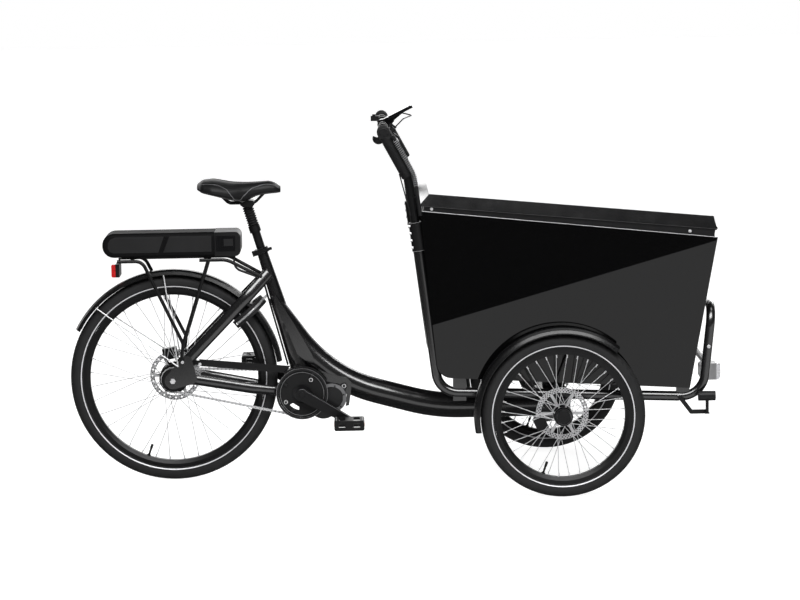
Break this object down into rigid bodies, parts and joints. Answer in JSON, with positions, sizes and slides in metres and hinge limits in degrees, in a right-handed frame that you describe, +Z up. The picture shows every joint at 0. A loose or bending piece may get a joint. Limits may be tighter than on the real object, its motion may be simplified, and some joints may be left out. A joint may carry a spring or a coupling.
{
  "type": "cargo tricycle",
  "caption": "Pedal cargo tricycle with an electric mid drive, a lidded box between the front wheels, a rear carrier with a battery and a sprung saddle.",
  "frame": {"origin": "middle of the footprint on the ground, under the centre line", "axes": "+X forwards towards the box's front, +Y to the rider's left, +Z up"},
  "size_m": [2.0516, 0.884, 1.1745],
  "materials": {
    "frame_paint": "satin black powder coat",
    "matte_coat": "matte black coat",
    "black_alloy": "black anodised",
    "steel": "brushed",
    "chain_steel": "oiled steel",
    "spoke_steel": "bright drawn wire",
    "motor_alloy": "cast, dark grey coat",
    "tyre": "matte rubber with a reflective line",
    "rubber": "matte",
    "cable": "satin",
    "plastic": "satin moulded",
    "gloss": "gloss moulded",
    "panel": "gloss black sheet",
    "lens": "clear red over dark housing",
    "lamp": "dark housing, clear lens",
    "lid": "grained",
    "saddle": "stitched cover"
  },
  "bodies": {
    "rear_frame": {"main_frame": "frame_paint", "rear_triangle": "frame_paint", "motor_casing": "motor_alloy", "chain_guard": "plastic", "chain": "chain_steel", "rear_axle": "steel", "rear_carrier": "matte_coat", "battery_tray": "plastic", "rear_light": "lens", "rear_fender": "plastic", "ring_lock": "plastic", "seat_clamp": "black_alloy", "rear_caliper": "black_alloy", "frame_cables": "cable"},
    "battery": {"battery": "plastic"},
    "lock_bolt": {"lock_bolt": "steel"},
    "seat_lever": {"seat_lever": "black_alloy"},
    "seat_post": {"seat_post": "black_alloy"},
    "saddle": {"seat_boot": "rubber", "saddle_rails": "black_alloy", "saddle": "saddle"},
    "rear_wheel": {"rear_tyre": "tyre", "rear_rim": "black_alloy", "rear_spokes": "spoke_steel", "rear_hub": "black_alloy"},
    "rear_sprocket": {"rear_sprocket": "chain_steel"},
    "crank": {"crank_set": "black_alloy", "chainring": "chain_steel"},
    "pedal_right": {"pedal_right": "plastic"},
    "pedal_left": {"pedal_left": "plastic"},
    "front_frame": {"side_tubes": "frame_paint", "bumper": "frame_paint", "axle_beam": "frame_paint", "box_side_right": "panel", "box_side_left": "panel", "box_front": "panel", "box_back": "panel", "box_floor": "matte_coat", "box_rim": "plastic", "front_fenders": "plastic", "front_calipers": "black_alloy", "front_lamps": "lamp"},
    "lid": {"lid": "lid"},
    "handlebar": {"handlebar": "matte_coat", "grips": "rubber", "display": "gloss", "brake_mounts": "plastic", "cable_bundle": "cable"},
    "brake_lever_right": {"brake_lever_right": "black_alloy"},
    "brake_lever_left": {"brake_lever_left": "black_alloy"},
    "assist_button": {"assist_button": "plastic"},
    "front_right_wheel": {"front_right_tyre": "tyre", "front_right_rim": "black_alloy", "front_right_spokes": "spoke_steel", "front_right_hub": "black_alloy"},
    "front_left_wheel": {"front_left_tyre": "tyre", "front_left_rim": "black_alloy", "front_left_spokes": "spoke_steel", "front_left_hub": "black_alloy"}
  },
  "joints": [
    {"name": "steering", "type": "hinge", "parent": "rear_frame", "child": "front_frame", "pos_m": [0.46575, 0, 0.25], "axis": [0, 0, 1], "range_deg": [-40, 40]},
    {"name": "rear_wheel_spin", "type": "hinge", "parent": "rear_frame", "child": "rear_wheel", "pos_m": [-0.69925, 0, 0.3265], "axis": [0, 1, 0], "continuous": true},
    {"name": "front_right_wheel_spin", "type": "hinge", "parent": "front_frame", "child": "front_right_wheel", "pos_m": [0.50075, -0.4, 0.25], "axis": [0, 1, 0], "continuous": true},
    {"name": "front_left_wheel_spin", "type": "hinge", "parent": "front_frame", "child": "front_left_wheel", "pos_m": [0.50075, 0.4, 0.25], "axis": [0, 1, 0], "continuous": true},
    {"name": "crank_spin", "type": "hinge", "parent": "rear_frame", "child": "crank", "pos_m": [-0.29575, 0, 0.275], "axis": [0, 1, 0], "continuous": true},
    {"name": "rear_sprocket_spin", "type": "hinge", "parent": "rear_frame", "child": "rear_sprocket", "pos_m": [-0.69925, 0, 0.3265], "axis": [0, 1, 0], "continuous": true},
    {"name": "pedal_right_spin", "type": "hinge", "parent": "crank", "child": "pedal_right", "pos_m": [-0.14853, -0.1, 0.19], "axis": [0, 1, 0], "continuous": true},
    {"name": "pedal_left_spin", "type": "hinge", "parent": "crank", "child": "pedal_left", "pos_m": [-0.44297, 0.1, 0.36], "axis": [0, 1, 0], "continuous": true},
    {"name": "seat_height", "type": "slide", "parent": "rear_frame", "child": "seat_post", "axis": [-0.284, 0, 0.9588], "range_m": [-0.05, 0.1]},
    {"name": "seat_suspension", "type": "slide", "parent": "seat_post", "child": "saddle", "axis": [-0.284, 0, 0.9588], "range_m": [-0.03, 0], "stiffness_N_per_m": 12000, "springref_m": 0.01, "deforming": ["seat_boot"]},
    {"name": "seat_lever", "type": "hinge", "parent": "rear_frame", "child": "seat_lever", "pos_m": [-0.43666, -0.0248, 0.71793], "axis": [-0.284, 0, 0.9588], "range_deg": [-150, 0]},
    {"name": "handlebar_height", "type": "slide", "parent": "front_frame", "child": "handlebar", "axis": [-0.1219, 0, 0.9925], "range_m": [-0.05, 0.1]},
    {"name": "brake_lever_right", "type": "hinge", "parent": "handlebar", "child": "brake_lever_right", "pos_m": [0.0071, -0.19, 1.08793], "axis": [0.6225, 0, 0.7826], "range_deg": [-14, 0], "stiffness_Nm_per_rad": 2, "springref_deg": 5.73},
    {"name": "brake_lever_left", "type": "hinge", "parent": "handlebar", "child": "brake_lever_left", "pos_m": [0.0071, 0.19, 1.08793], "axis": [0.6225, 0, 0.7826], "range_deg": [0, 14], "stiffness_Nm_per_rad": 2, "springref_deg": -5.73},
    {"name": "lid_hinge", "type": "hinge", "parent": "front_frame", "child": "lid", "pos_m": [0.98275, 0, 0.7969], "axis": [0, 1, 0], "range_deg": [0, 95]},
    {"name": "battery_slide", "type": "slide", "parent": "rear_frame", "child": "battery", "axis": [-1, 0, 0], "range_m": [0, 0.4]},
    {"name": "lock_bolt_turn", "type": "hinge", "parent": "rear_frame", "child": "lock_bolt", "pos_m": [-0.46732, 0, 0.52458], "axis": [-0.6494, 0, 0.7604], "range_deg": [-118, 0]},
    {"name": "assist_press", "type": "slide", "parent": "handlebar", "child": "assist_button", "axis": [0, 0, -1], "range_m": [0, 0.0025], "stiffness_N_per_m": 600, "springref_m": -0.001}
  ],
  "couplings": [
    {"joint": "rear_sprocket_spin", "follows": "crank_spin", "ratio": 2}
  ]
}
